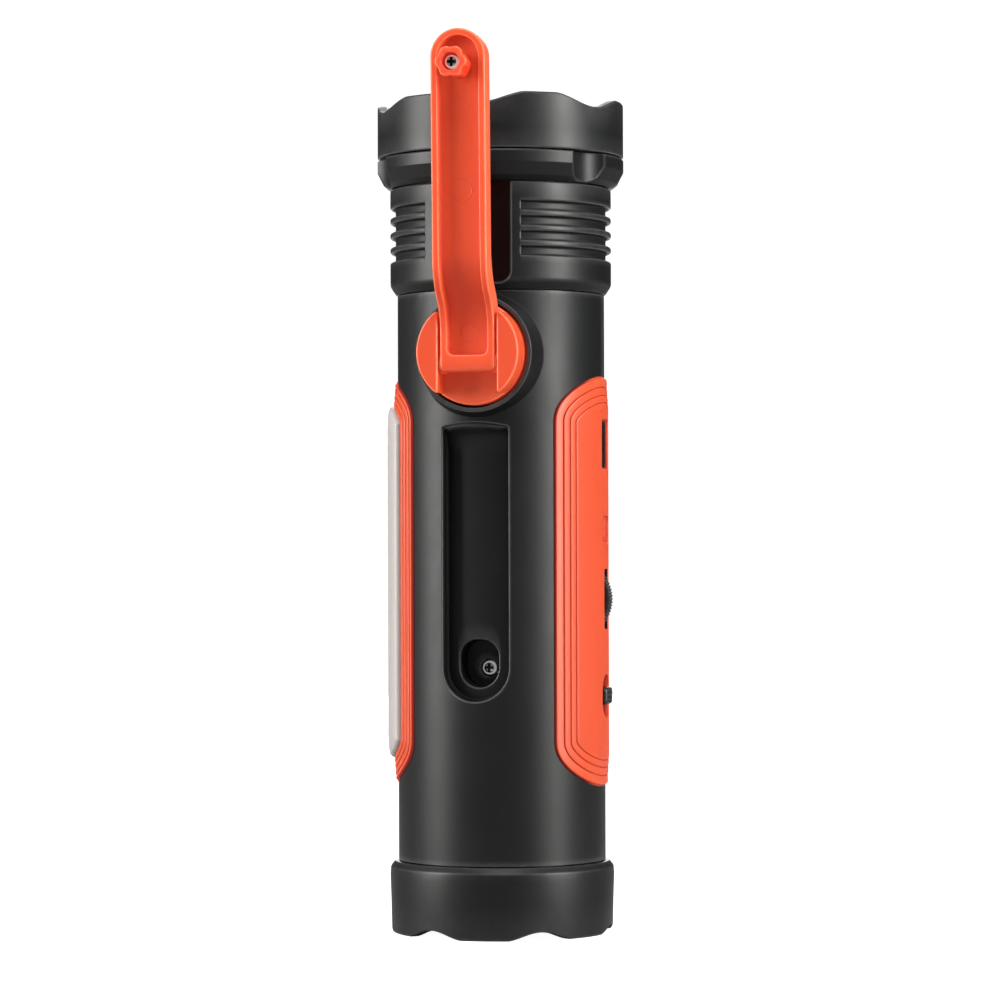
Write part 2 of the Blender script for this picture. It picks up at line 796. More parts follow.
@dataclass(frozen=True)
class Laminate(Finish):
    """Lacquered circuit board: copper tracks under the lacquer, with pads and weave."""

    def made(self, r: Recipe) -> bpy.types.Material:
        """Builds the material."""
        at = r.node("ShaderNodeSeparateXYZ", {}, {0: r.place})
        tracks = None
        for axis, pitch in ((2, 2.6), (0, 3.4)):
            wave = Wire(r, at.outputs[axis]) / (pitch * MM) + r.noise(9, 0) * 1.5
            ridge = wave.sum("PINGPONG", wave, 0.5)
            line = r.ramp(ridge, 0.4, 0.44)
            tracks = line if tracks is None else (tracks + line * r.ramp(r.noise(7, 0), 0.5, 0.54)).clamped()
        pads = 1 - r.ramp(r.spots(3.2), 0.16, 0.2)
        weave = r.noise(0.4, 1)
        colour = r.blend(tracks * 0.6, linear(self.colour), linear((60, 140, 80)))
        colour = r.blend(pads.clamped(), colour, linear((190, 190, 185)))
        rough = self.roughness + weave * 0.1 - pads.clamped() * 0.1
        return r.finish({
            "Base Color": colour, "Roughness": rough, "Metallic": (pads * 0.7).clamped(), "Coat Weight": 0.4,
            "Normal": r.bump(tracks + weave * 0.2, 0.03),
        })


@dataclass(frozen=True)
class Glowing(Finish):
    """Phosphor: grainy amber with a paler middle."""

    def made(self, r: Recipe) -> bpy.types.Material:
        """Builds the material."""
        grains = r.noise(0.18, 2)
        colour = r.blend(grains, linear(self.colour), linear((250, 215, 120)))
        return r.finish({
            "Base Color": colour, "Roughness": self.roughness + grains * 0.2,
            "Normal": r.bump(grains, 0.02), "Coat Weight": 0.6,
        })


class Slot(Enum):
    """The record's material slots and the finish that each stands for."""

    BODY = "body_plastic"
    ORANGE = "orange_plastic"
    SEAL = "seal_rubber"
    STEEL = "steel"
    BRASS = "brass"
    COPPER = "copper"
    ALLOY = "alloy"
    MAGNET = "magnet"
    INNER = "inner_plastic"
    BOARD = "circuit_board"
    CONE = "speaker_cone"
    WRAP = "cell_wrap"
    LENS = "lens_clear"
    MIRROR = "reflector_mirror"
    EMITTER = "emitter_amber"
    WINDOW = "window_smoked"
    DIFFUSER = "diffuser_milky"


ORANGE = Moulded(
    "orange_plastic", (182, 65, 34), 0.44, grain=0.5, grain_depth=0.002, clouding=0.05, worn=0.34,
    worn_colour=(255, 165, 125), hollow_colour=(150, 6, 2), gloss=0.3, glow=0.2, ember=0.12)
PANEL_ORANGE = replace(
    ORANGE, name="panel_plastic", deep_below=27.45, worn=0.06, colour=(178, 66, 36), ember=0.11)
HUB_ORANGE = replace(ORANGE, name="hub_plastic", colour=(178, 64, 34), ember=0.19)
ARM_ORANGE = replace(
    ORANGE, name="arm_plastic", colour=(188, 69, 37), ember=0.18, marks=((188.9, 2.85), (153.7, 2.2)))
KNOB_ORANGE = replace(ORANGE, name="knob_plastic", colour=(195, 47, 18), ember=0.18)

FINISHES: dict[Slot, Finish] = {
    Slot.BODY: Moulded(
        "body_plastic", (9, 10, 11), 0.42, grain_depth=0.002, worn=0.34, worn_colour=(112, 112, 114),
        hollow_colour=(3, 3, 3), gloss=0.28),
    Slot.ORANGE: ORANGE,
    Slot.SEAL: Rubber("seal_rubber", (26, 26, 27), 0.82),
    Slot.STEEL: Metal("steel", (205, 206, 208), 0.24, tarnished=0.2),
    Slot.BRASS: Metal("brass", (186, 150, 84), 0.3, tarnish=(110, 80, 40)),
    Slot.COPPER: Metal(
        "copper", (180, 98, 60), 0.34, lines=(0.05, 0.05, 1.0), tarnish=(90, 40, 24), depth=0.03),
    Slot.ALLOY: Metal("alloy", (170, 172, 176), 0.4, lines=(0.05, 1.0, 1.0), tarnish=(120, 122, 126)),
    Slot.MAGNET: Moulded("magnet", (58, 60, 64), 0.6, grain=0.5, grain_depth=0.03, clouding=0.15),
    Slot.INNER: Moulded(
        "inner_plastic", (228, 220, 200), 0.5, grain=0.8, clouding=0.04, worn=0.2,
        worn_colour=(245, 240, 228), hollow_colour=(170, 158, 130), glow=0.1),
    Slot.BOARD: Laminate("circuit_board", (30, 88, 52), 0.3),
    Slot.CONE: Moulded("speaker_cone", (48, 49, 52), 0.85, grain=0.9, grain_depth=0.06, clouding=0.2),
    Slot.WRAP: Moulded(
        "cell_wrap", (44, 92, 166), 0.3, grain=1.2, grain_depth=0.01, clouding=0.08,
        worn_colour=(150, 170, 200), coat=0.5),
    Slot.LENS: Clear("lens_clear", (246, 250, 252), 0.03),
    Slot.MIRROR: Metal(
        "reflector_mirror", (222, 223, 226), 0.06, tarnish=(190, 192, 198), tarnished=0.2, depth=0.001),
    Slot.EMITTER: Glowing("emitter_amber", (232, 190, 70), 0.3),
    Slot.WINDOW: Moulded(
        "window_smoked", (7, 7, 8), 0.3, grain=2.5, grain_depth=0.004, clouding=0.1, worn=0.05,
        worn_colour=(60, 60, 64), hollow_colour=(4, 4, 4), gloss=0.12),
    Slot.DIFFUSER: Moulded(
        "diffuser_milky", (163, 157, 155), 0.42, grain=0.7, grain_depth=0.004, clouding=0.015, worn=0.1,
        worn_colour=(200, 194, 190), hollow_colour=(130, 118, 112), gloss=0.4, glow=0.12),
}
SCREW_STEEL = replace(FINISHES[Slot.STEEL], name="screw_steel", spark=0.3)
SWITCH_BLACK = replace(FINISHES[Slot.BODY], name="switch_plastic", colour=(21, 19, 18), gloss=0.35, worn=0.1)


def dress_nodes() -> None:
    """Gives every plain node the finish of its own slot."""
    nodes = [node for node in frame["record"].get("nodes", []) if isinstance(node, dict)]
    slots = {node["name"]: node.get("material") for node in nodes}
    for name, thing in frame["nodes"].items():
        for place in thing.material_slots:
            for slot in Slot:
                named = place.material and place.material.name.startswith(slot.value)
                if slots.get(name) == slot.value or named:
                    place.material = FINISHES[slot].material()


# The body


@dataclass
class TailCap:
    """The cap at the tail: a drum with six feet and hollows between them."""

    radius: float = 29.15
    draft: float = 0.4
    height: float = 18.5
    bore: float = 25.2
    rim: float = 24.9
    boss: float = 10.0
    recess: float = 2.4
    floor: float = 5.0
    foot: float = 13.0
    hollow: float = 2.1
    turned: float = 3.3
    waist: float = 9.0
    ridge: float = 26.5
    columns: int = 480

    def build(self) -> None:
        """Builds the cap.

        The profile is turned about the axis; a point near the end is then lifted by the hollow's depth times
        a share that falls to nothing at the recess inside and at the waist outside.
        """
        profile = rounded([
            (0, 0), (self.boss, 0, 0.5), (self.boss, self.recess, 0.4), (self.rim, self.recess, 0.4),
            (self.rim, 0, 2.0), (self.radius - self.draft, 0, 0.7), (self.radius - 0.2, self.waist),
            (self.radius, self.height - 3.6), (self.radius - 0.15, self.height - 1.5, 1.2),
            (self.radius - 1.3, self.height, 0.8), (self.bore, self.height, 0.3),
            (self.bore, self.floor, 0.4), (0, self.floor),
        ], 6)
        angles = turns(self.columns)
        radius, z = profile[:, :1], profile[:, 1:]
        lift = self.hollow * scallop(angles, 60, self.turned, self.foot)[None]
        fall = np.where(radius < self.ridge, 1 - z / self.recess, 1 - z / self.waist)
        share = np.clip(fall, 0, 1) * (radius > self.rim - 0.5)
        Skin().rings(around(radius, angles[None], z + lift * share)).piece("tail_cap", "cap", Slot.BODY)


@dataclass
class Shells:
    """The two halves of the body: a cylinder with the arm's recess, the hub's collar and a speaker grille."""

    radius: float = 26.94
    low: float = 18.8
    high: float = 165.1
    neck: float = 24.9
    neck_low: float = 8.2
    neck_high: float = 171.6
    patch_half: float = 17.3
    patch_columns: int = 37
    side_columns: int = 46
    seam_half: float = 0.15
    slot_half: float = 8.68
    slot_middle: float = -0.95
    slot_low: float = 60.5
    slot_high: float = 130.4
    slot_floor: float = 22.1
    slot_edge: float = 58.6
    slot_round: float = 0.4
    slot_crown: float = 0.8
    slot_arch: float = 1.1
    ramp: float = 6.4
    pocket_half: float = 5.075
    pocket_middle: float = -0.825
    pocket_low: float = 64.0
    pocket_high: float = 76.25
    pocket_corner: float = 4.4
    pocket_floor: float = 14.8
    pocket_round: float = 0.5
    pocket_draft: float = 0.08
    screw_height: float = 68.8
    screw_across: float = -0.3
    screw_bore: float = 2.3
    screw_floor: float = 11.4
    collar_edge: float = 132.28
    crank_height: float = 148.9
    collar_top: float = 15.0
    collar_base: float = 16.0
    collar_inner: float = 13.85
    collar_face: float = 31.0
    collar_foot: float = 0.25
    collar_edge_round: float = 0.22
    seat: float = 27.0
    panel_half: float = 19.2
    panel_low: float = 39.5
    panel_high: float = 142.3
    panel_end: float = 13.0
    panel_power: float = 2.3
    under_panel: float = 25.3
    grille_middle: float = 87.5
    grille_pitch: float = 3.4
    grille_bars: int = 6
    grille_half: float = 7.0
    grille_open: float = 0.8
    grille_lip: float = 0.3
    wall: float = 0.9

    @property
    def reach(self) -> float:
        """Angle from the middle of a patch to its side."""
        return math.asin(self.patch_half / self.radius)

    def skin_depth(self, x: Array) -> Array:
        """Depth of the cylinder at a place across: the square root of radius squared less x squared."""
        return np.sqrt(self.radius ** 2 - np.clip(np.abs(x), 0, self.radius) ** 2)

    def across(self) -> Array:
        """Places across a patch, at even angles of the cylinder."""
        return self.radius * np.sin(np.linspace(-self.reach, self.reach, self.patch_columns))

    def side_angles(self) -> Array:
        """Angles from a patch's side to the seam between the halves."""
        return np.linspace(self.reach, math.pi / 2 - self.seam_half / self.radius, self.side_columns)

    def approach(self, patch: Patch, loop: Loop, gap: float, shares: Sequence[float]) -> Flats:
        """Outlines on the cylinder from a patch's edge to near a feature's outline.

        Args:
            patch: the rectangle that holds the feature.
            loop: the feature's outline.
            gap: how far outside it the last share would lie.
            shares: how far along each outline is.

        Returns:
            The outlines with their depths.
        """
        return [(p, self.skin_depth(p[:, 0])) for p in blends(patch.edge(), loop.grown(gap), shares)]

    def floor(self, z: Array) -> Array:
        """Depth of the arm recess's floor, flat and then rising along a circle at its upper end.

        Args:
            z: heights.

        Returns:
            The depth at each height.
        """
        rise = self.radius - self.slot_floor
        radius = (self.ramp ** 2 + rise ** 2) / (2 * rise)
        run = np.clip(z - (self.slot_high - self.ramp), 0, self.ramp)
        return self.slot_floor + radius - np.sqrt(radius ** 2 - run ** 2)

    def slot_rings(self, patch: Patch) -> list[Array]:
        """Rings from the patch's edge over the recess's lip, its wall and its floor into the pocket.

        A ring is the recess's outline moved in or out, at a depth that is a share between the cylinder and
        the floor; the pocket's rings follow in the same way, down to the screw's own bore.

        Args:
            patch: the rectangle that holds the recess.

        Returns:
            The rings, as points.
        """
        size, bore_lip, slope, shadow = self.slot_round, 0.25, 0.25, 0.3

        def outline(inset: float) -> Loop:
            """The recess's outline moved inwards, with its upper end arched by a parabola."""
            half, high = self.slot_half - inset, self.slot_high - inset
            loop = patch.loop(half, self.slot_low + inset, high, half - 0.01, 0.5)
            points = loop.points.copy()
            end = points[:, 1] > high - 0.5
            points[end, 1] += self.slot_arch * (1 - (points[end, 0] / self.slot_half) ** 2)
            return Loop(points, loop.outward).moved(self.slot_middle)

        def sole_depth(p: Array) -> Array:
            """Depth of the floor, which is crowned across as the cylinder is."""
            return self.floor(p[:, 1]) - self.slot_crown * (self.radius - self.skin_depth(p[:, 0]))

        slot, wall, inner = outline(0.0), outline(slope).points, outline(slope + size).points
        flats = self.approach(patch, slot, size, np.linspace(0, 1, 25)[:-1])
        flats += [(p, self.skin_depth(p[:, 0]) - drop) for p, drop in slot.lip(size, 5)]
        top = self.skin_depth(slot.points[:, 0]) - size
        low = np.minimum(top, sole_depth(slot.points) + size)
        flats += [(mixed(slot.points, wall, s), mixed(top, low, s)) for s in (0.35, 0.7)]
        for t in quarter(4):
            p = mixed(wall, inner, 1 - math.cos(t))
            flats.append((p, np.minimum(low, sole_depth(p) + size * (1 - math.sin(t)))))
        pocket = patch.loop(self.pocket_half, self.pocket_low, self.pocket_high,
                            self.pocket_half - 0.01, self.pocket_corner).moved(self.pocket_middle)
        shares = (0.015, 0.03, 0.045, 0.06, 0.075, 0.09, 0.12, 0.16, 0.22, 0.3, 0.45, 0.6, 0.8, 0.92)
        flats += [(p, np.minimum(sole_depth(p), self.skin_depth(p[:, 0]) - shadow))
                  for p in blends(inner, pocket.grown(size), shares)]
        flats += [(p, sole_depth(p) - drop) for p, drop in pocket.lip(size)]
        sole = pocket.sole(self.pocket_round, self.pocket_draft)
        flats += [(p, self.pocket_floor + rise) for p, rise in sole]
        bore = patch.loop(self.screw_bore, self.screw_height - self.screw_bore,
                          self.screw_height + self.screw_bore, self.screw_bore - 0.01,
                          self.screw_bore - 0.01).moved(self.screw_across)
        edge = pocket.grown(-self.pocket_round - self.pocket_draft)
        flats += [(p, self.pocket_floor) for p in blends(edge, bore.grown(bore_lip), (0.3, 0.65))]
        flats += [(p, self.pocket_floor - drop) for p, drop in bore.lip(bore_lip, 3)]
        centre = np.array([[self.screw_across, self.screw_height]])
        flats += [(p, self.screw_floor) for p in blends(bore.points, centre, (0.0, 0.35, 1.0))]
        return raised(flats)

    def collar_rings(self, patch: Patch) -> list[Array]:
        """Rings from the patch's edge up the collar's wall, over its face and down to the hub's seat.

        Args:
            patch: the rectangle that holds the collar.

        Returns:
            The rings, as points.
        """
        def circle(radius: float) -> Loop:
            """A circle about the crank's line."""
            return patch.loop(radius, self.crank_height - radius, self.crank_height + radius,
                              radius - 0.01, radius - 0.01)

        base, seat = circle(self.collar_base), circle(self.collar_inner).points
        foot, edge, bevel = self.collar_foot, self.collar_edge_round, 0.2
        flats = self.approach(patch, base, foot, (0, 0.35, 0.65, 0.85, 0.96))
        flats += [(p, self.skin_depth(p[:, 0]) + rise) for p, rise in base.lip(foot)]
        low = self.skin_depth(base.points[:, 0]) + foot
        lean, high = self.collar_top - self.collar_base, self.collar_face - edge
        flats += [(base.grown(lean * s), mixed(low, high, s)) for s in (0.06, 0.5, 0.94)]
        flats += [(circle(self.collar_top - edge * (1 - math.cos(t))).points,
                   self.collar_face - edge * (1 - math.sin(t))) for t in quarter(4)]
        flats += [(circle(self.collar_inner + bevel * (1 - math.sin(t))).points,
                   self.collar_face - bevel * (1 - math.cos(t))) for t in quarter(3)]
        flats.append((seat, self.seat + 0.3))
        centre = np.array([[0.0, self.crank_height]])
        flats += [(p, self.seat) for p in blends(seat, centre, (0.0, 0.5, 1.0))]
        return raised(flats)

    def grille_rings(self, patch: Patch, middle: float) -> list[Array]:
        """Rings from the patch's edge over the lip of one through slot.

        Args:
            patch: the rectangle that holds the slot.
            middle: the slot's height.

        Returns:
            The rings, as points.
        """
        lip, rise = self.grille_lip, self.grille_open
        slot = patch.loop(self.grille_half, middle - rise, middle + rise, rise - 0.01, rise - 0.01)
        flats = self.approach(patch, slot, lip, (0.0, 0.3, 0.6, 0.85, 0.95))
        flats += [(p, self.skin_depth(p[:, 0]) - drop) for p, drop in slot.lip(lip)]
        return raised(flats)

    def sides(self, heights: Array) -> tuple[Array, Array]:
        """The cylinder beside the patches, lowered under the side panels, where it isn't seen.

        The lowered part is where the distance from the panel's middle, in the panel's own half sizes, is
        less than one when both are raised to a power.

        Args:
            heights: the heights that the patches use.

        Returns:
            The grid on the panel's side and the one on the lamp's side.
        """
        angle = self.side_angles()
        y = self.radius * np.cos(angle)[None]
        half = (self.panel_high - self.panel_low) / 2
        middle = (self.panel_high + self.panel_low) / 2
        run = np.clip((np.abs(heights - middle) - half + self.panel_end) / self.panel_end, 0, 1)[:, None]
        under = (y / self.panel_half) ** self.panel_power + run ** self.panel_power < 1
        radius = np.where(under, self.under_panel, self.radius)
        right = around(radius, angle[None], heights[:, None])
        return right, right * np.array([-1, 1, 1])

    def necks(self, skin: Skin) -> None:
        """Adds the stepped-in necks that the tail cap and the head slide over, at both ends."""
        side, bevel = self.side_angles(), 0.4
        middle = np.linspace(-self.reach, self.reach, self.patch_columns)[1:-1]
        angle = np.concatenate([-side[::-1], middle, side])
        for end, tip, way in ((self.low, self.neck_low, 1), (self.high, self.neck_high, -1)):
            profile = np.array([
                (self.radius, end), (self.radius - 0.3, end), (self.neck, end),
                (self.neck, mixed(end, tip, 0.5)), (self.neck, tip - bevel * way), (self.neck - bevel, tip),
            ])
            skin.grid(around(profile[:, :1], angle[None], profile[:, 1:]))

    def half(self, patches: Sequence[tuple[Array, Callable[[Patch], list[Array]] | None]]) -> Skin:
        """Builds one half of the body from its stack of patches.

        Args:
            patches: for each, its heights and what makes its feature's rings.

        Returns:
            The half's skin, on the crank side.
        """
        skin, across = Skin(), self.across()
        heights = [patches[0][0]]
        for i, (up, feature) in enumerate(patches):
            patch = Patch(across, up)
            if feature is None:
                skin.grid(front(across[None], self.skin_depth(across)[None], up[:, None]))
            else:
                skin.rings(feature(patch))
            if i:
                heights.append(up[1:])
        for grid in self.sides(np.concatenate(heights)):
            skin.grid(grid)
        self.necks(skin)
        return skin

    def build(self) -> None:
        """Builds both halves; the rear one is made as the front one and turned half way round."""
        core = Vector((0, 0, (self.low + self.high) / 2))
        front_half = self.half([
            (np.linspace(self.low, self.slot_edge, 30), None),
            (np.linspace(self.slot_edge, self.collar_edge, 97), self.slot_rings),
            (np.linspace(self.collar_edge, self.high, 49), self.collar_rings),
        ])
        front_half.piece("front_shell", "body", Slot.BODY, wall=self.wall, centre=core)
        starts = [self.grille_middle + self.grille_pitch * (i - (self.grille_bars - 1) / 2)
                  for i in range(self.grille_bars)]
        bands: list[tuple[Array, Callable[[Patch], list[Array]] | None]] = [
            (np.linspace(self.low, starts[0], 50), None)]
        for low, high in zip(starts, starts[1:]):
            middle = (low + high) / 2
            bands.append((np.linspace(low, high, 9), lambda patch, m=middle: self.grille_rings(patch, m)))
        bands.append((np.linspace(starts[-1], self.high, 60), None))
        rear = self.half(bands)
        rear.points = [points * np.array([-1, -1, 1]) for points in rear.points]
        rear.piece("rear_shell", "body", Slot.BODY, wall=self.wall, centre=core)


@dataclass
class Head:
    """The head: housing with cooling grooves, scalloped ring, crown bezel, lens and gasket."""

    housing_radius: float = 28.8
    foot_radius: float = 26.94
    low: float = 165.4
    top: float = 192.7
    spigot: float = 27.6
    spigot_top: float = 205.0
    facet: float = 26.9
    facet_half: float = 8.95
    facet_low: float = 166.9
    facet_corner: float = 3.2
    facet_above: float = 27.2
    bore: float = 25.2
    board_low: float = 173.4
    board_high: float = 175.9
    groove_first: float = 175.075
    groove_pitch: float = 3.85
    grooves: int = 4
    groove_height: float = 2.35
    groove_depth: float = 1.4
    groove_angle: float = 26.3
    turned: float = -2.95
    ring_radius: float = 32.1
    ring_low: float = 193.0
    ring_high: float = 200.6
    ring_bore: float = 27.9
    hollow_angles: tuple[float, ...] = (58.8, -2.6, -64.0, -123.0, 178.2, 118.4)
    hollow_distance: float = 37.63
    hollow_radius: float = 8.43
    hollow_reach: float = 12.0
    crown_radius: float = 32.06
    crown_low: float = 200.9
    crown_base: float = 206.0
    crown_top: float = 215.2
    crown_floor: float = 212.1
    crown_bore: float = 24.5
    notch_depth: float = 0.93
    notch_first: float = 32.0
    notch_flat: float = 8.7
    lens_radius: float = 27.6

    def housing_columns(self) -> tuple[Array, Array, Array]:
        """Angles round the housing, closest at the facet's and the grooves' ends.

        Returns:
            The angles, the share of the groove's depth at each and the share of its height.
        """
        end, radius = math.radians(self.groove_angle), self.housing_radius
        steps = np.array([-0.2, -0.1, 0.0, 0.03, 0.1, 0.22, 0.4, 0.9]) / radius
        depth = np.array([0, 0.04, 0.14, 0.85, 0.95, 1, 1, 1])
        edge = math.asin(self.facet_half / radius)
        fine = np.arange(-2.6, 2.1, 0.13) / radius
        first = np.concatenate([
            np.linspace(0, edge + fine[0], 9)[:-1], edge + fine,
            np.linspace(edge + fine[-1], end + steps[0], 8)[1:-1],
            end + steps, np.linspace(end + steps[-1], math.pi / 2, 46)[1:],
        ])
        round_end = 0.3
        inset = np.clip(round_end - (first - end) * radius, 0, round_end)
        half = self.groove_height / 2
        height = 1 - (round_end - np.sqrt(round_end ** 2 - inset ** 2)) / half

        def whole(quarter_turn: Array) -> Array:
            """The values of a quarter turn, mirrored to half a turn and then to a whole one."""
            half_turn = np.concatenate([quarter_turn, quarter_turn[::-1][1:]])
            return np.concatenate([half_turn, half_turn[::-1][1:-1]])

        angles = np.concatenate([first, math.pi - first[::-1][1:]])
        angles = np.concatenate([angles, 2 * math.pi - angles[::-1][1:-1]])
        return angles + math.radians(self.turned), whole(np.interp(first, end + steps, depth)), whole(height)

    def housing(self) -> None:
        """Builds the housing.

        The wall's radius is the profile's less the groove's depth times two shares, one of the row and one of
        the column; rows of a groove close up towards its middle at its rounded ends. Inside the outline of
        the flat facet, a rectangle with two round corners, every point's depth is kept below the facet's.
        """
        angles, cut, tall = self.housing_columns()
        rows: list[tuple[float, float, float, float]] = []
        foot = rounded([(self.bore, self.low), (self.foot_radius + 0.3, self.low, 0.4),
                        (self.housing_radius, self.low + 2.3, 2.6), (self.housing_radius, 172.2)], 8)
        for a, b in zip(foot, foot[1:]):
            steps = max(1, int(np.linalg.norm(b - a) / 0.13)) if b[1] > self.low else 1
            places = mixed(a, b, np.linspace(0, 1, steps, endpoint=False)[:, None])
            rows += [(r, z, 0.0, z) for r, z in places]
        wall = [(-0.5, 0), (-0.3, 0.03), (-0.12, 0.1), (0.0, 0.24), (0.05, 0.8), (0.14, 0.93), (0.32, 1),
                (0.7, 1)]
        half = self.groove_height / 2
        for i in range(self.grooves):
            centre = self.groove_first + i * self.groove_pitch
            for way, side in ((1, wall), (-1, wall[::-1])):
                rows += [(self.housing_radius, centre + way * (offset - half), share, centre)
                         for offset, share in side]
        hollow = rounded([
            (self.housing_radius, 189), (self.housing_radius, self.top, 0.5), (self.spigot, self.top, 0.15),
            (self.spigot, self.spigot_top, 0.4), (25.4, self.spigot_top, 0.3), (25.4, self.board_high, 0.4),
            (4, self.board_high, 0.2), (4, self.board_low, 0.2), (self.bore, self.board_low, 0.3),
            (self.bore, self.low + 0.2),
        ], 4)
        rows += [(r, z, 0.0, z) for r, z in hollow]
        radius, z, share, centre = (np.array(column)[:, None] for column in zip(*rows))
        points_z = centre + (z - centre) * np.where(share > 0, tall[None], 1)
        points_r = radius - self.groove_depth * share * cut[None]
        points = around(points_r, angles[None], points_z)
        corner = self.facet_corner
        over = np.hypot(np.clip(np.abs(points[..., 0]) - self.facet_half + corner, 0, None),
                        np.clip(self.facet_low + corner - points_z, 0, None)) - corner
        within = np.clip(0.5 - over / 0.3, 0, 1)
        flat = within * within * (3 - 2 * within) * (radius > self.facet_above) * (points[..., 1] < 0)
        points[..., 1] = mixed(points[..., 1], np.maximum(points[..., 1], -self.facet), flat)
        thing = Skin().rings(points, closed=True).piece("head_housing", "body", Slot.BODY, sharp=40)
        x, y, z = places_of(thing)
        on_facet = (np.abs(y + self.facet) < 0.03) & (np.abs(x) < self.facet_half) & (z > self.facet_low)
        write_share(thing, "polish", on_facet)

    def ring(self) -> None:
        """Builds the ring: a profile turned about the axis, cut by six upright hollows.

        A hollow of radius q about a line at a distance d from the axis keeps the radius at an angle a from
        its middle below d cos a less the root of q squared less the square of d sin a.
        """
        profile = rounded([
            (self.ring_bore, self.ring_low), (29.0, self.ring_low, 0.3), (30.5, 194.2, 0.5),
            (self.ring_radius, 197.4, 0.6), (self.ring_radius, self.ring_high, 0.5),
            (self.ring_bore, self.ring_high, 0.2),
        ], 5)
        dense = np.concatenate([
            mixed(a, b, np.linspace(0, 1, max(2, int(np.linalg.norm(b - a) / 0.35)), endpoint=False)[:, None])
            for a, b in zip(profile, np.roll(profile, -1, axis=0))
        ])
        angles = turns(720)
        marks = np.array(self.hollow_angles)[:, None]
        off = np.radians(np.abs((np.degrees(angles) - marks + 180) % 360 - 180).min(axis=0))
        distance, uncut = self.hollow_distance, 60.0
        inside = np.clip(self.hollow_radius ** 2 - (distance * np.sin(off)) ** 2, 0, None)
        cut = distance * np.cos(off) - np.sqrt(inside)
        limit = np.where(off < math.radians(self.hollow_reach), cut, uncut)
        radius = np.minimum(dense[:, :1], limit[None])
        rings = around(radius, angles[None], dense[:, 1:])
        Skin().rings(rings, closed=True).piece("head_ring", "body", Slot.BODY, sharp=30)

    def bezel(self) -> None:
        """Builds the crown bezel.

        Its rim's height falls in six hollows, softened by the sum of three that are turned a little apart,
        and the wall under the rim shrinks to fit.
        """
        base, top, floor, wall = self.crown_base, self.crown_top, self.crown_floor, 30.5
        profile = rounded([
            (self.ring_bore, self.crown_low, 0.2), (self.crown_radius, self.crown_low, 0.5),
            (self.crown_radius, base), (self.crown_radius, top, 0.7), (29.36, top, 0.5), (29.1, floor, 0.5),
            (self.crown_bore, floor, 0.5), (self.crown_bore, 210.3, 0.3), (self.ring_bore, 210.3, 0.2),
        ], 6, closed=True)
        angles = turns(480)
        radius, z = profile[:, :1], profile[:, 1:]
        spread = (-0.018, 0.0, 0.018)
        fall = sum(scallop(angles + turn, 60, self.notch_first, self.notch_flat) for turn in spread)
        drop = fall[None] * self.notch_depth
        outer = base + (z - base) * (top - drop - base) / (top - base)
        inner = floor + (z - floor) * (top - drop - floor) / (top - floor)
        height = np.where((radius > wall) & (z > base), outer, np.where(z > floor, inner, z))
        rings = around(radius, angles[None], height)
        Skin().rings(rings, closed=True).piece("bezel", "body", Slot.BODY, sharp=40)

    def optics(self) -> None:
        """Builds the lens and its gasket."""
        angles, outer, bore = turns(128), self.lens_radius, self.crown_bore
        lens = rounded([(0, 206.7), (outer, 206.7, 0.3), (outer, 208.3, 0.3), (23, 208.7, 4), (0, 208.72)], 5)
        Skin().rings(lathe(lens, angles)).piece("lens", "body", Slot.LENS)
        gasket = rounded([
            (bore, 209.0, 0.25), (outer, 209.0, 0.25), (outer, 210.0, 0.25), (bore, 210.0, 0.25),
        ], 4, closed=True)
        Skin().rings(lathe(gasket, angles), closed=True).piece("lens_gasket", "body", Slot.SEAL)

    def build(self) -> None:
        """Builds the head."""
        self.housing()
        self.ring()
        self.bezel()
        self.optics()


@dataclass
class Screw:
    """A cross-headed screw: a dished head with its cross worked in."""

    node: str
    body: str
    across: float
    height: float
    face: float
    radius: float
    thick: float
    shank: float = 1.2
    bar: float = 0.34
    drive: float = 0.68
    sunk: float = 0.85
    dome: float = 0.35

    def head(self) -> Skin:
        """The screw's head.

        The face is a shallow dome; the cross is where the smaller of the distances to the two bars is less
        than their half width and the reach less than the drive's, and it is sunk into the face.

        Returns:
            The head's skin.
        """
        angle = turns(96)[None]
        reach = np.linspace(0, 1, 22)[::-1, None] * (self.radius - 0.25)
        x, z = reach * np.cos(angle), reach * np.sin(angle)
        bar = np.clip((self.bar - np.minimum(np.abs(x), np.abs(z))) / 0.12, 0, 1)
        cross = bar * np.clip((self.radius * self.drive - reach) / 0.2, 0, 1)
        dome = self.face - self.dome * (reach / self.radius) ** 2
        top = front(self.across + x, dome - cross * self.sunk, self.height + z)
        under = self.face - self.thick
        side = rounded([(0, under - 0.8), (self.shank, under - 0.8), (self.shank, under, 0.1),
                        (self.radius, under, 0.2), (self.radius, self.face - 0.42, 0.3),
                        (self.radius - 0.25, self.face - 0.28)], 4)
        rings = lathe_outward(side, self.height, 96) + np.array([self.across, 0, 0])
        return Skin().rings(np.concatenate([rings, top]))

    def build(self) -> None:
        """Builds the screw and marks its cross and its rim."""
        thing = self.head().piece(self.node, self.body, Slot.STEEL, SCREW_STEEL, sharp=50)
        x, _, z = places_of(thing)
        x, z = x - self.across, z - self.height
        reach = np.hypot(x, z)
        write_share(thing, "drive", (np.minimum(np.abs(x), np.abs(z)) < 0.36) & (reach < 0.66 * self.radius))
        write_share(thing, "ring", reach > 0.76 * self.radius)


SCREWS = (
    Screw("shell_screw", "body", -0.3, 68.8, 13.3, 1.75, 1.8),
    Screw("hub_screw", "crank", 0.0, 148.9, 31.5, 2.1, 1.1),
    Screw("knob_screw", "arm", 0.0, 219.8, 53.9, 1.7, 1.8),
)


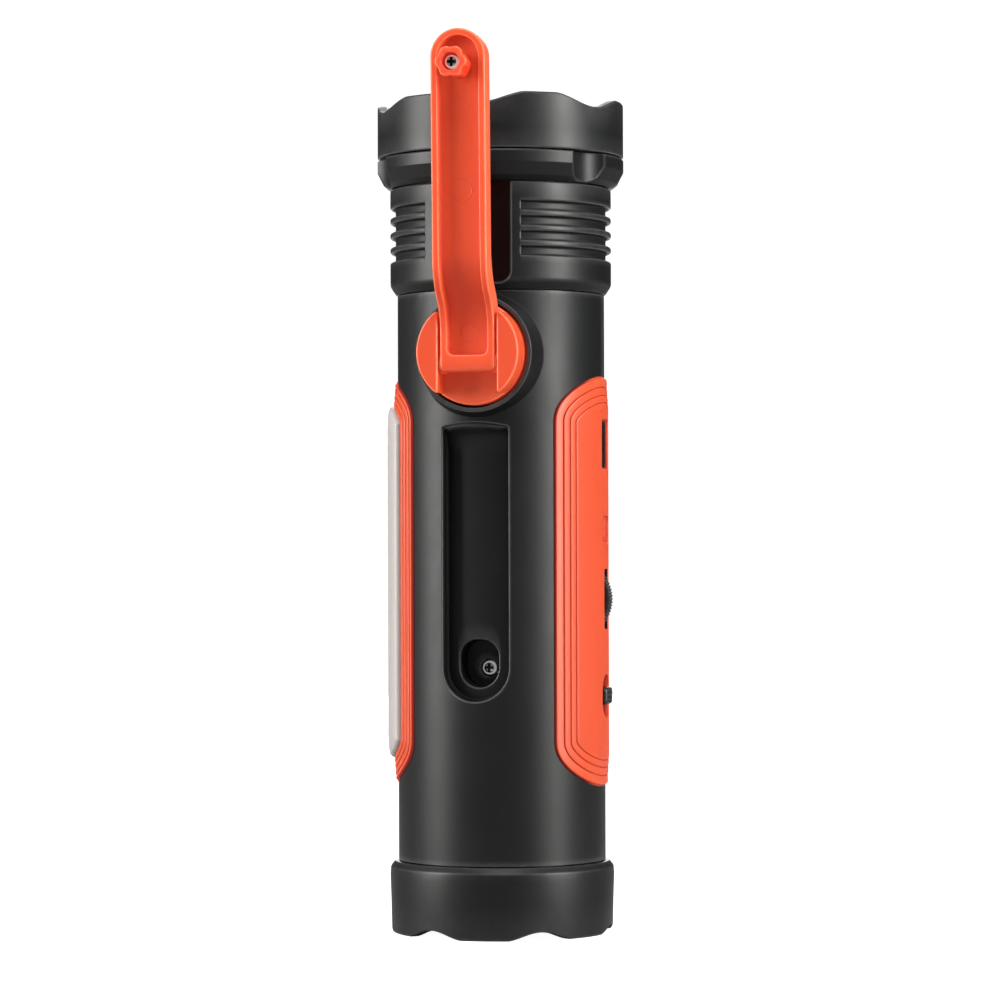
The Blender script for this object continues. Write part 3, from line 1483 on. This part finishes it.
@dataclass
class Crank:
    """The hub, the folding arm and the knob."""

    crank_height: float = 148.9
    hub_radius: float = 13.2
    hub_back: float = 27.3
    hub_face: float = 31.8
    cheek: float = 38.2
    cheek_round: float = 0.4
    channel: float = 7.65
    well_radius: float = 2.6
    well_depth: float = 1.7
    half: float = 7.0
    low: float = 143.95
    high: float = 229.0
    rim: float = 1.7
    edge: float = 0.45
    inner_low: float = 148.05
    inner_lip: float = 0.2
    inner_sole: float = 0.7
    inner_draft: float = 0.1
    floor: float = 3.0
    boss_radius: float = 2.4
    boss_from: float = 6.0
    boss_to: float = 7.4
    hinge_depth: float = 35.2
    hinge_height: float = 145.9
    barrel: float = 2.8
    knob_height: float = 219.8
    knob_radius: float = 4.02
    knob_valley: float = 0.5
    knob_power: float = 1.3

    def hub(self) -> None:
        """Builds the hub: a disc with a cheek on each side of the channel that the arm folds in.

        A cheek's outline is the part of the hub's circle beyond the channel, softened by taking each point's
        mean with its neighbours a few times.
        """
        skin, well = Skin(), self.hub_face - self.well_depth
        disc = rounded([
            (0, self.hub_back), (self.hub_radius, self.hub_back, 0.4), (self.hub_radius, self.hub_face, 0.5),
            (self.well_radius, self.hub_face, 0.25), (self.well_radius, well, 0.1), (0, well),
        ], 4)
        skin.rings(lathe_outward(disc, self.crank_height, 128))
        reach = math.acos((self.channel + 0.02) / self.hub_radius)
        arc = np.linspace(-reach, reach, 61)
        rim = np.stack([self.hub_radius * np.cos(arc), self.hub_radius * np.sin(arc)], -1)
        end = rim[-1, 1]
        chord = np.stack([np.full(39, self.channel), np.linspace(end, -end, 41)[1:-1]], -1)
        patch = Patch(np.linspace(0, 1, 13), np.linspace(0, 1, 49))
        outline = np.concatenate([rim, chord])
        smoothings, rim_middle, spine_half = 6, 30, 6.5
        for _ in range(smoothings):
            outline = (outline + np.roll(outline, 1, 0) + np.roll(outline, -1, 0)) / 3
        loop = patch.follow(np.roll(outline, -rim_middle, axis=0))
        centre = loop.points.mean(axis=0)
        along = np.clip(loop.points[:, 1], -spine_half, spine_half)
        spine = np.stack([0 * loop.points[:, 0] + centre[0], along], -1)
        size, root = self.cheek_round, self.hub_face - 1.2
        shoulder = self.cheek - size
        flats = [(loop.points, depth) for depth in (root, shoulder - 2, shoulder - 0.1, shoulder)]
        flats += [(p, self.cheek - drop) for p, drop in loop.sole(size, steps=6)[1:]]
        last = flats[-1][0]
        point = mixed(last, np.array([[centre[0], 0.0]]), 1.0)
        flats += [(p, self.cheek) for p in blends(last, spine, (0.06, 0.5, 0.94))]
        flats = [(point, root)] + flats + [(point, self.cheek)]
        for side in (1, -1):
            skin.rings([front(side * p[:, 0], depth, self.crank_height + p[:, 1]) for p, depth in flats])
        skin.piece("crank_hub", "crank", Slot.ORANGE, HUB_ORANGE)

    def side(self, z: Array, corners: Sequence[Sequence[float]], way: int) -> Array:
        """Depth of one side of the arm: a rounded line, and round the hinge's barrel at its foot.

        Args:
            z: heights.
            corners: the line's corners, as rows of height, depth and radius.
            way: 1 for the side away from the body, -1 for the side towards it.

        Returns:
            The depth at each height.
        """
        line = rounded(corners, 14)
        drop = np.clip(self.hinge_height - z, 0, self.barrel)
        barrel = self.hinge_depth + way * np.sqrt(self.barrel ** 2 - drop ** 2)
        return np.where(z < self.hinge_height, barrel, np.interp(z, line[:, 0], line[:, 1]))

    def back(self, z: Array) -> Array:
        """Depth of the arm's back: straight, a rounded jog outwards, then a slight lean."""
        line = [(100, 32.4), (160.7, 32.4, 12), (168.7, 40.4, 14), (229.0, 42.2), (240, 42.5)]
        return self.side(z, line, -1)

    def face(self, z: Array) -> Array:
        """Depth of the arm's face, which follows its back."""
        line = [(100, 38.0), (158.4, 38.0, 12), (166.4, 46.0, 14), (229.0, 47.8), (240, 48.1)]
        return self.side(z, line, 1)

    def spine(self, points: Array) -> Array:
        """The arm's middle line beside each point."""
        return np.stack([0 * points[:, 0], np.clip(points[:, 1], 150, self.high - self.half)], -1)

    def arm(self) -> None:
        """Builds the arm, a channel whose rings run from the middle of its back to the middle of its floor.

        Each ring is an outline moved inwards, at a depth that is the back's or the face's plus a part of a
        round; the channel's outline has a point for each of the arm's, so that the rim lies between them.
        """
        patch = Patch(np.linspace(0, 1, 33), np.linspace(0, 1, 171))
        outer = patch.loop(self.half, self.low, self.high, 1.0, self.half - 0.01)
        inner_half = self.half - self.rim
        inner = patch.loop(inner_half, self.inner_low, self.high - self.rim, 1.8, inner_half - 0.01)
        edge, lip, sole, draft = self.edge, self.inner_lip, self.inner_sole, self.inner_draft
        hem, last = outer.grown(-edge), inner.grown(-draft - sole)
        flats = [(p, self.back(p[:, 1])) for p in blends(hem, self.spine(outer.points), (1.0, 0.6, 0.25))]
        flats += [(p, self.back(p[:, 1]) - drop) for p, drop in outer.lip(-edge)]
        flats += [(p, self.face(p[:, 1]) - drop) for p, drop in outer.sole(edge)]
        flats += [(p, self.face(p[:, 1])) for p in blends(hem, inner.grown(lip), (0.08, 0.5, 0.92))]
        flats += [(p, self.face(p[:, 1]) - drop) for p, drop in inner.lip(lip)]
        flats += [(p, self.back(p[:, 1]) + self.floor + rise) for p, rise in inner.sole(sole, draft)]
        inwards = blends(last, self.spine(last), (0.3, 0.65, 1.0))
        flats += [(p, self.back(p[:, 1]) + self.floor) for p in inwards]
        skin = Skin().rings(raised(flats))
        angle = turns(48)[None]
        boss = rounded([(0, self.boss_from), (self.boss_radius, self.boss_from),
                        (self.boss_radius, self.boss_to, 0.25), (0, self.boss_to)], 3)
        for side in (1, -1):
            reach, out = boss[:, :1], side * boss[:, 1:]
            skin.rings(front(out + 0 * angle, self.hinge_depth + reach * np.cos(angle),
                             self.hinge_height + reach * np.sin(angle)))
        skin.piece("crank_arm", "arm", Slot.ORANGE, ARM_ORANGE)

    def knob(self) -> None:
        """Builds the knob, whose radius sinks in six narrow valleys.

        A valley's depth goes with a raised power of the cosine of six turns, and with the fourth power of
        the radius.
        """
        widest = self.knob_radius
        profile = rounded([
            (0, 44.5), (3.2, 44.5, 0.3), (3.25, 49.5, 6), (widest, 53.2, 1.5), (widest, 55.2, 0.5),
            (2.3, 55.2, 0.2), (2.2, 51.8, 0.2), (0, 51.8),
        ], 6)
        angle = turns(192)[None]
        radius, depth = profile[:, :1], profile[:, 1:]
        valley = self.knob_valley * ((1 + np.cos(6 * angle)) / 2) ** self.knob_power
        radius = radius - valley * (radius / widest) ** 4
        rings = front(radius * np.sin(angle), depth + 0 * angle, self.knob_height + radius * np.cos(angle))
        Skin().rings(rings).piece("crank_knob", "knob", Slot.ORANGE, KNOB_ORANGE)

    def build(self) -> None:
        """Builds the crank."""
        self.hub()
        self.arm()
        self.knob()


@dataclass
class SidePanel:
    """A long panel on the side of the body, with steps round its edge."""

    outer: float = 27.95
    inner: float = 25.7
    middle: float = 90.9
    half_length: float = 53.4
    half_width: float = 20.9
    end: float = 13.0
    power: float = 2.3
    edge_level: float = 27.6
    edge_foot: float = 26.6
    edge_round: float = 0.25
    steps: tuple[float, ...] = (3.3, 5.4, 7.3)
    step_end: float = 0.9
    lean: float = 0.85

    def outline(self) -> Array:
        """The panel's outline on the unrolled cylinder: straight sides and superellipse ends.

        Returns:
            Points of arc length and height, anticlockwise from the right.
        """
        angle = np.linspace(0, math.pi, 241)
        across = np.sign(np.cos(angle)) * np.abs(np.cos(angle)) ** (2 / self.power)
        along = np.abs(np.sin(angle)) ** (2 / self.power)
        y = self.half_width * across
        z = self.half_length - self.end + self.end * along
        upper = np.stack([self.outer * np.arcsin(np.clip(y / self.outer, -1, 1)), z], -1)
        whole = np.concatenate([upper, -upper])
        path = []
        for a, b in zip(whole, np.roll(whole, -1, axis=0)):
            length = float(np.linalg.norm(b - a))
            if length > 1e-6:
                path.append(mixed(a, b, np.linspace(0, 1, max(1, int(length)), endpoint=False)[:, None]))
        return np.concatenate(path)

    def place(self, side: int, flat: Array, radius: Array | float) -> Array:
        """Rolls flat points of arc length and height onto the body's side.

        Args:
            side: 1 for the control side, -1 for the lamp side.
            flat: points of arc length and height above the panel's middle.
            radius: distance from the axis.

        Returns:
            The points.
        """
        angle = flat[..., 0] / self.outer
        x, y = side * radius * np.cos(angle), radius * np.sin(angle)
        return np.stack([x, y, self.middle + flat[..., 1]], -1)

    def terraces(self, side: int, loop: Loop) -> list[Array]:
        """Rings up the panel's edge and over its steps.

        A step is a short rise with a thin groove at its foot; the edge leans in and ends in a quarter round.

        Args:
            side: which side of the body.
            loop: the panel's outline.

        Returns:
            The rings, from the back to the middle area.
        """
        rings = [self.place(side, loop.points, radius) for radius in (self.inner, self.edge_foot)]
        rings += [self.place(side, p, self.edge_level - drop)
                  for p, drop in loop.sole(self.edge_round, self.lean)]
        rise = (self.outer - self.edge_level) / len(self.steps)
        level = self.edge_level
        profile = [(-0.46, 0.0), (-0.3, -0.03), (-0.22, -0.2), (0.0, -0.2), (0.05, 0.0), (0.12, rise - 0.08),
                   (0.22, rise - 0.02), (0.4, rise)]
        for inset in self.steps:
            rings += [self.place(side, loop.grown(-inset - at), level + up) for at, up in profile]
            level += rise
        rings.append(self.place(side, loop.grown(-self.steps[-1] - self.step_end), self.outer))
        return rings


@dataclass(frozen=True)
class Recess:
    """A recess of a panel: half its width, its lower and upper ends, its corners' radius and its depth."""

    half: float
    low: float
    high: float
    corner: float
    depth: float


@dataclass
class ControlSide(SidePanel):
    """The control panel with its window, tuning wheel and slide switch."""

    strip_half: float = 6.3
    strip_low: float = -43.4
    strip_high: float = 44.2
    switch_recess: Recess = Recess(4.0, -35.3, -24.0, 3.9, 1.2)
    wheel_recess: Recess = Recess(2.2, -12.4, 3.2, 0.7, 2.2)
    shallow_recess: Recess = Recess(4.1, 10.1, 17.0, 1.6, 0.6)
    window_recess: Recess = Recess(4.0, 29.01, 41.91, 0.8, 0.75)
    recess_lip: float = 0.25
    recess_sole: float = 0.25
    window_middle: float = 35.46
    window_half_height: float = 6.15
    window_half_width: float = 3.7
    window_foot: float = 22.6
    window_below: float = 0.6
    window_round: float = 0.3
    wheel_middle: float = 19.1
    wheel_radius: float = 10.3
    wheel_half: float = 1.5
    wheel_bore: float = 1.9
    wheel_shoulder: float = 8.6
    teeth: int = 76
    tooth_depth: float = 0.28
    slide_middle: float = -29.65
    slide_half_height: float = 2.25
    slide_half_width: float = 3.7
    slide_foot: float = 24.5
    slide_under: float = 26.3
    slide_top: float = 28.95
    slide_round: float = 0.9
    stem_half: float = 1.4
    grip_depth: float = 0.14
    grip_pitch: float = 1.2

    def recess(self, patch: Patch, size: Recess) -> list[Array]:
        """Rings into a recess of the panel and over its floor.

        Args:
            patch: the rectangle that holds it.
            size: its sizes.

        Returns:
            The rings.
        """
        loop = patch.loop(size.half, size.low, size.high, size.corner, size.corner)
        lip, sole, depth = self.recess_lip, self.recess_sole, size.depth
        flats = [(p, 0.0) for p in blends(patch.edge(), loop.grown(lip), (0, 0.5, 0.85, 0.96))]
        flats += loop.lip(lip)
        flats += [(loop.points, depth - sole), (loop.grown(-0.08), depth - 0.08)]
        centre = np.array([[0.0, (size.low + size.high) / 2]])
        flats += [(p, depth) for p in blends(loop.grown(-sole), centre, (0.0, 0.5, 1.0))]
        return [self.place(1, p, self.outer - drop) for p, drop in flats]

    def panel(self) -> None:
        """Builds the panel: steps round its edge, and a strip of patches that hold the recesses."""
        skin = Skin()
        across = np.linspace(-self.strip_half, self.strip_half, 25)
        marks = [self.strip_low, -37.0, -22.3, -14.6, 4.0, 8.5, 18.6, 27.4, 43.4, self.strip_high]
        counts = [6, 24, 8, 30, 5, 20, 9, 26, 2]
        recesses = {1: self.switch_recess, 3: self.wheel_recess, 5: self.shallow_recess,
                    7: self.window_recess}
        heights = [np.array([marks[0]])]
        for i, (low, high, count) in enumerate(zip(marks, marks[1:], counts)):
            patch = Patch(across, np.linspace(low, high, count + 1))
            heights.append(patch.up[1:])
            if i in recesses:
                skin.rings(self.recess(patch, recesses[i]))
            else:
                flat = np.stack(np.broadcast_arrays(across[None], patch.up[:, None]), -1)
                skin.grid(self.place(1, flat, self.outer))
        strip = Patch(across, np.concatenate(heights))
        loop = strip.follow(self.outline())
        inner = loop.grown(-self.steps[-1] - self.step_end)
        rings = [self.place(1, p, self.inner) for p in blends(loop.points, np.zeros((1, 2)), (1.0, 0.6, 0.3))]
        rings += self.terraces(1, loop)
        rings += [self.place(1, p, self.outer) for p in blends(inner, strip.edge(), (0.35, 0.7, 1.0))]
        skin.rings(rings).piece("control_panel", "body", Slot.ORANGE, PANEL_ORANGE, sharp=42)

    def window(self) -> None:
        """Builds the dial window, a slightly bulging pane with rounded edges."""
        patch = Patch(np.linspace(-1, 1, 17), np.linspace(-1, 1, 33))
        middle, half, size = self.window_middle, self.window_half_height, self.window_round
        foot, level = self.window_foot, self.outer - self.window_below
        loop = patch.loop(self.window_half_width, middle - half, middle + half, 0.7, 0.7)
        centre = np.array([[0.0, middle]])
        flats = [(mixed(loop.points, centre, 1.0), foot), (loop.points, foot), (loop.points, level - size)]
        flats += [(p, level - drop) for p, drop in loop.sole(size)[1:]]
        flats += [(mixed(loop.grown(-size), centre, s), level + 0.1 * s) for s in (0.4, 0.8, 1.0)]
        rings = [self.place(1, p, radius) for p, radius in flats]
        Skin().rings(rings).piece("scale_window", "body", Slot.WINDOW)

    def wheel(self) -> None:
        """Builds the tuning wheel, whose rim has fine teeth with rounded crowns."""
        angle = turns(self.teeth * 12)[None]
        half, radius = self.wheel_half, self.wheel_radius
        bore, shoulder = self.wheel_bore, self.wheel_shoulder
        profile = rounded([(bore, -half), (shoulder, -half, 0.2), (radius, -half, 0.5), (radius, half, 0.5),
                           (shoulder, half, 0.2), (bore, half)], 4)
        tooth = np.clip(0.5 + 1.3 * np.cos(self.teeth * angle), 0, 1)
        reach, across = profile[:, :1], profile[:, 1:]
        reach = reach - self.tooth_depth * (1 - tooth) * np.clip((reach - 9) / 0.6, 0, 1)
        x, z = self.wheel_middle + reach * np.cos(angle), WHEEL_HEIGHT + reach * np.sin(angle)
        rings = np.stack([x, across + 0 * angle, z], -1)
        Skin().rings(rings, closed=True).piece("tuning_wheel", "tuning", Slot.BODY, sharp=40)

    def slide(self) -> None:
        """Builds the slide switch's knob, a rounded block with three grip lines."""
        patch = Patch(np.linspace(-1, 1, 25), np.linspace(-1, 1, 41))
        middle, half, thin = self.slide_middle, self.slide_half_height, self.stem_half
        foot, under, top, size = self.slide_foot, self.slide_under, self.slide_top, self.slide_round
        loop = patch.loop(self.slide_half_width, middle - half, middle + half, 1.1, 1.1)
        centre = np.array([[0.0, middle]])
        stem = patch.loop(thin, middle - thin, middle + thin, 0.3, 0.3).points
        flats = [(mixed(stem, centre, 1.0), foot), (stem, foot), (stem, under), (loop.points, under),
                 (loop.points, top - size)]
        flats += [(p, top - drop) for p, drop in loop.sole(size, steps=6)[1:]]
        flats += [(p, top) for p in blends(loop.grown(-size), centre, np.linspace(0.1, 1.0, 14))]
        rings = []
        for p, radius in flats:
            wave = np.clip(np.cos((p[:, 1] - middle) * 2 * math.pi / self.grip_pitch), 0, 1)
            rings.append(self.place(1, p, radius - self.grip_depth * wave * (radius > top - 0.05)))
        Skin().rings(rings).piece("switch_knob", "switch", Slot.BODY, SWITCH_BLACK)

    def build(self) -> None:
        """Builds the control side."""
        self.panel()
        self.window()
        self.wheel()
        self.slide()


@dataclass
class LampSide(SidePanel):
    """The side lamp: a stepped frame and a milky diffuser that bulges out of it."""

    inset: float = 7.0
    spine_half: float = 34.0
    steps: tuple[float, ...] = (2.6, 4.3, 5.9)
    lean: float = 1.45

    def build(self) -> None:
        """Builds the frame, a closed band of rings, and the diffuser, whose middle stands a little proud."""
        patch = Patch(np.linspace(0, 1, 41), np.linspace(0, 1, 121))
        loop = patch.follow(self.outline())
        rings = self.terraces(-1, loop)[:-1]
        inner = loop.grown(-self.inset - 0.05)
        rings += [self.place(-1, inner, r) for r in (self.outer, self.outer - 0.2, self.inner)]
        rings.append(self.place(-1, mixed(loop.points, inner, 0.5), self.inner))
        Skin().rings(rings, closed=True).piece("lamp_frame", "body", Slot.ORANGE, PANEL_ORANGE, sharp=42)
        edge = loop.grown(-self.inset - 0.3)
        spine = np.stack([0 * edge[:, 0], np.clip(edge[:, 1], -self.spine_half, self.spine_half)], -1)
        bulge = ((0.0, 27.75), (0.006, 28.3), (0.02, 28.75), (0.045, 29.05), (0.08, 29.25), (0.14, 29.42),
                 (0.25, 29.55), (0.45, 29.66), (0.7, 29.72), (1.0, 29.74))
        levels = ((1.0, self.inner), (0.0, self.inner)) + bulge
        flats = [(mixed(edge, spine, share), level) for share, level in levels]
        rings = [self.place(-1, p, radius) for p, radius in flats]
        Skin().rings(rings).piece("lamp_diffuser", "body", Slot.DIFFUSER)


# Studio


@dataclass
class Studio:
    """The pale floor and backdrop, the soft lights and the camera."""

    facing: float = 13.0
    middle: float = 0.115
    light_colour: tuple[float, float, float] = (1.0, 0.99, 0.965)
    fill_colour: tuple[float, float, float, float] = (0.94, 0.97, 1.0, 1)
    floor_shades: tuple[float, float, float] = (0.3, 0.36, 0.34)
    floor_glow: float = 0.98
    camera_place: tuple[float, float, float] = (0.21395, -0.92828, 0.1001)
    aim: tuple[float, float, float] = (-0.00035, -0.00008, 0.1121)
    lens: float = 131.4
    roll: float = -0.0028
    left_power: float = 40.0
    right_power: float = 42.0
    top_power: float = 10.5
    back_power: float = 9.0
    fill: float = 0.19

    def camera(self) -> None:
        """Puts the camera at the photograph's place."""
        data = bpy.data.cameras.new("camera")
        data.lens, data.sensor_width = self.lens, 36.0
        data.clip_start, data.clip_end = 0.01, 20.0
        camera = bpy.data.objects.new("camera", data)
        place = Vector(self.camera_place)
        look = Vector(self.aim) - place
        turn = look.to_track_quat("-Z", "Y").to_matrix().to_4x4()
        camera.matrix_world = Matrix.Translation(place) @ turn @ Matrix.Rotation(self.roll, 4, "Z")
        bpy.context.scene.collection.objects.link(camera)
        bpy.context.scene.camera = camera

    def light(self, name: str, azimuth: float, distance: float, size: tuple[float, float], power: float,
              height: float = 0.13) -> None:
        """Adds an upright soft light that faces the object.

        Args:
            name: the light's name.
            azimuth: degrees from the crank side towards the panel.
            distance: metres from the axis.
            size: its width and height, in metres.
            power: watts.
            height: height of its middle.
        """
        data = bpy.data.lights.new(name, "AREA")
        data.shape, data.size, data.size_y, data.energy = "RECTANGLE", size[0], size[1], power
        data.color = self.light_colour
        thing = bpy.data.objects.new(name, data)
        angle = math.radians(azimuth)
        place = Vector((distance * math.sin(angle), -distance * math.cos(angle), height))
        look = Vector((0, 0, self.middle)) - place
        thing.matrix_world = Matrix.Translation(place) @ look.to_track_quat("-Z", "Y").to_matrix().to_4x4()
        thing.visible_camera = False
        bpy.context.scene.collection.objects.link(thing)

    def backdrop(self) -> None:
        """Lays the pale floor, which curves up into a backdrop and is white as the camera sees it."""
        angle = np.linspace(0, math.pi / 2, 17)
        front_end, bend_start, bend, top = -3.0, 3.0, 1.5, 5.0
        curve = np.stack([bend_start + bend * np.sin(angle), bend - bend * np.cos(angle)], -1)
        profile = np.concatenate([[[front_end, 0.0]], curve, [[bend_start + bend, top]]])
        width = np.linspace(-5, 5, 5)
        rows = np.stack(np.broadcast_arrays(width[None], profile[:, :1], profile[:, 1:]), -1) / MM
        mesh = Skin().grid(rows).mesh("floor")
        recipe = Recipe("pale_floor")
        grain = recipe.noise(30, 3)
        low, high, bounced = ((shade, shade, shade, 1) for shade in self.floor_shades)
        colour = recipe.blend(grain, low, high)
        pale = recipe.node("ShaderNodeBsdfDiffuse", {}, {"Color": colour})
        white = recipe.node("ShaderNodeEmission", {}, {"Color": (1, 1, 1, 1), "Strength": self.floor_glow})
        lit = recipe.node("ShaderNodeAddShader", {}, {0: pale.outputs[0], 1: white.outputs[0]})
        dim = recipe.node("ShaderNodeBsdfDiffuse", {}, {"Color": bounced})
        ray = recipe.node("ShaderNodeLightPath")
        shown = recipe.node("ShaderNodeMixShader", {}, {
            0: ray.outputs["Is Camera Ray"], 1: dim.outputs[0], 2: lit.outputs[0]})
        recipe.node("ShaderNodeOutputMaterial", {}, {"Surface": shown.outputs[0]})
        mesh.materials.append(recipe.material)
        floor = bpy.data.objects.new("floor", mesh)
        bpy.context.scene.collection.objects.link(floor)

    def world(self) -> None:
        """Makes the air white where the camera sees it and dimmer where it only lights."""
        world = bpy.data.worlds.new("studio")
        bpy.context.scene.world = world
        world.use_nodes = True
        tree = world.node_tree
        tree.nodes.clear()
        path = tree.nodes.new("ShaderNodeLightPath")
        dim, bright = tree.nodes.new("ShaderNodeBackground"), tree.nodes.new("ShaderNodeBackground")
        dim.inputs["Strength"].default_value = self.fill
        dim.inputs["Color"].default_value = self.fill_colour
        bright.inputs["Color"].default_value = (1, 1, 1, 1)
        mix, out = tree.nodes.new("ShaderNodeMixShader"), tree.nodes.new("ShaderNodeOutputWorld")
        tree.links.new(path.outputs["Is Camera Ray"], mix.inputs[0])
        tree.links.new(dim.outputs[0], mix.inputs[1])
        tree.links.new(bright.outputs[0], mix.inputs[2])
        tree.links.new(mix.outputs[0], out.inputs[0])

    def build(self) -> None:
        """Builds the studio."""
        self.camera()
        self.backdrop()
        self.world()
        self.light("left_light", self.facing - 76, 1.1, (0.46, 1.7), self.left_power)
        self.light("right_light", self.facing + 62, 1.1, (0.4, 1.7), self.right_power)
        self.light("top_light", self.facing, 0.75, (0.7, 0.7), self.top_power, height=1.35)
        self.light("back_light", self.facing + 180, 1.4, (0.5, 1.2), self.back_power, height=0.4)
        bpy.context.scene.view_settings.view_transform = "Standard"


def main() -> None:
    """Builds the dressed flashlight and its studio."""
    logging.basicConfig(level=logging.INFO, format="%(message)s")
    dress_nodes()
    TailCap().build()
    Shells().build()
    Head().build()
    for screw in SCREWS:
        screw.build()
    Crank().build()
    ControlSide().build()
    LampSide().build()
    Studio().build()


if __name__ == "__main__":
    main()
